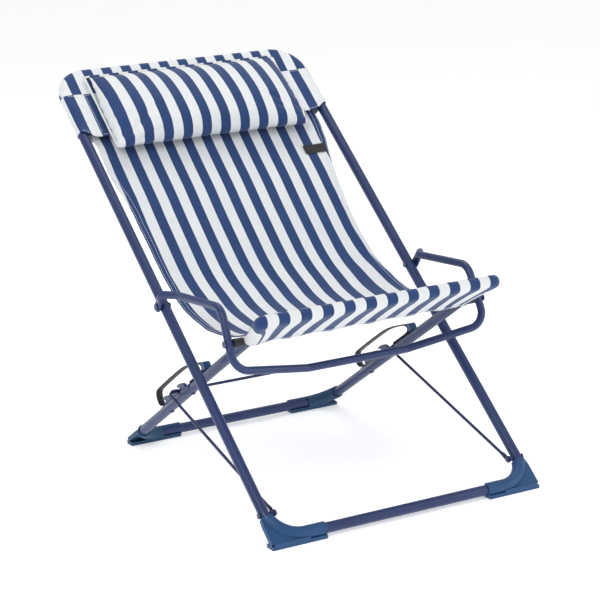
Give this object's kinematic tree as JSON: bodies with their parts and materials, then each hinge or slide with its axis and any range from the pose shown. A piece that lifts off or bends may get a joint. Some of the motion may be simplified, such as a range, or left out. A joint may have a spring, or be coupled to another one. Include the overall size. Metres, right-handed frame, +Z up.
{
  "type": "folding beach chair",
  "caption": "Folding beach chair with a slung striped cloth seat, padded head roll, tube frames, armrests and a notched wire stay.",
  "frame": {"origin": "middle of the footprint, on the ground under the soles", "axes": "+Z up, the sitter faces -Y, +X to the sitter's left"},
  "size_m": [0.5956, 0.9012, 0.7545],
  "materials": {
    "navy_paint": "satin",
    "rivet_paint": "satin",
    "wire_coat": "satin",
    "blue_plastic": "matte",
    "black_plastic": "matte",
    "striped_cloth": "matte",
    "black_cloth": "matte"
  },
  "bodies": {
    "back_frame": {"back_frame": "navy_paint", "front_shoe_left": "blue_plastic", "front_shoe_right": "blue_plastic", "armrest_rivets": "rivet_paint", "armrest_washers": "black_plastic", "stay_rivets": "rivet_paint", "stay_spacers": "rivet_paint", "top_pocket": "striped_cloth", "sling": "striped_cloth", "head_cushion": "striped_cloth", "label_tab": "black_cloth"},
    "seat_frame": {"seat_frame": "navy_paint", "rear_shoe_left": "blue_plastic", "rear_shoe_right": "blue_plastic", "rack_left": "navy_paint", "rack_right": "navy_paint", "rack_rivets": "rivet_paint", "guard_left": "black_plastic", "guard_right": "black_plastic", "guard_clips": "blue_plastic", "seat_rivet_tails": "rivet_paint", "front_pocket": "striped_cloth"},
    "armrest_loop": {"armrest_loop": "navy_paint", "seat_rivets": "rivet_paint", "seat_spacers": "black_plastic"},
    "wire_stay": {"stay_rod_left": "wire_coat", "stay_rod_right": "wire_coat", "stay_crossbar": "wire_coat"}
  },
  "joints": [
    {"name": "fold", "type": "hinge", "parent": "back_frame", "child": "seat_frame", "pos_m": [0, -0.18968, 0.3128], "axis": [1, 0, 0], "range_deg": [0, 58], "deforming": ["sling"]},
    {"name": "armrest_swing", "type": "hinge", "parent": "back_frame", "child": "armrest_loop", "pos_m": [0, -0.02498, 0.35674], "axis": [1, 0, 0], "range_deg": [0, 20.12]},
    {"name": "stay_swing", "type": "hinge", "parent": "back_frame", "child": "wire_stay", "pos_m": [0, -0.39583, 0.04886], "axis": [1, 0, 0], "range_deg": [0, 27.48]}
  ],
  "couplings": [
    {"joint": "armrest_swing", "follows": "fold", "ratio": 0.34673},
    {"joint": "stay_swing", "follows": "fold", "ratio": 0.47365}
  ]
}
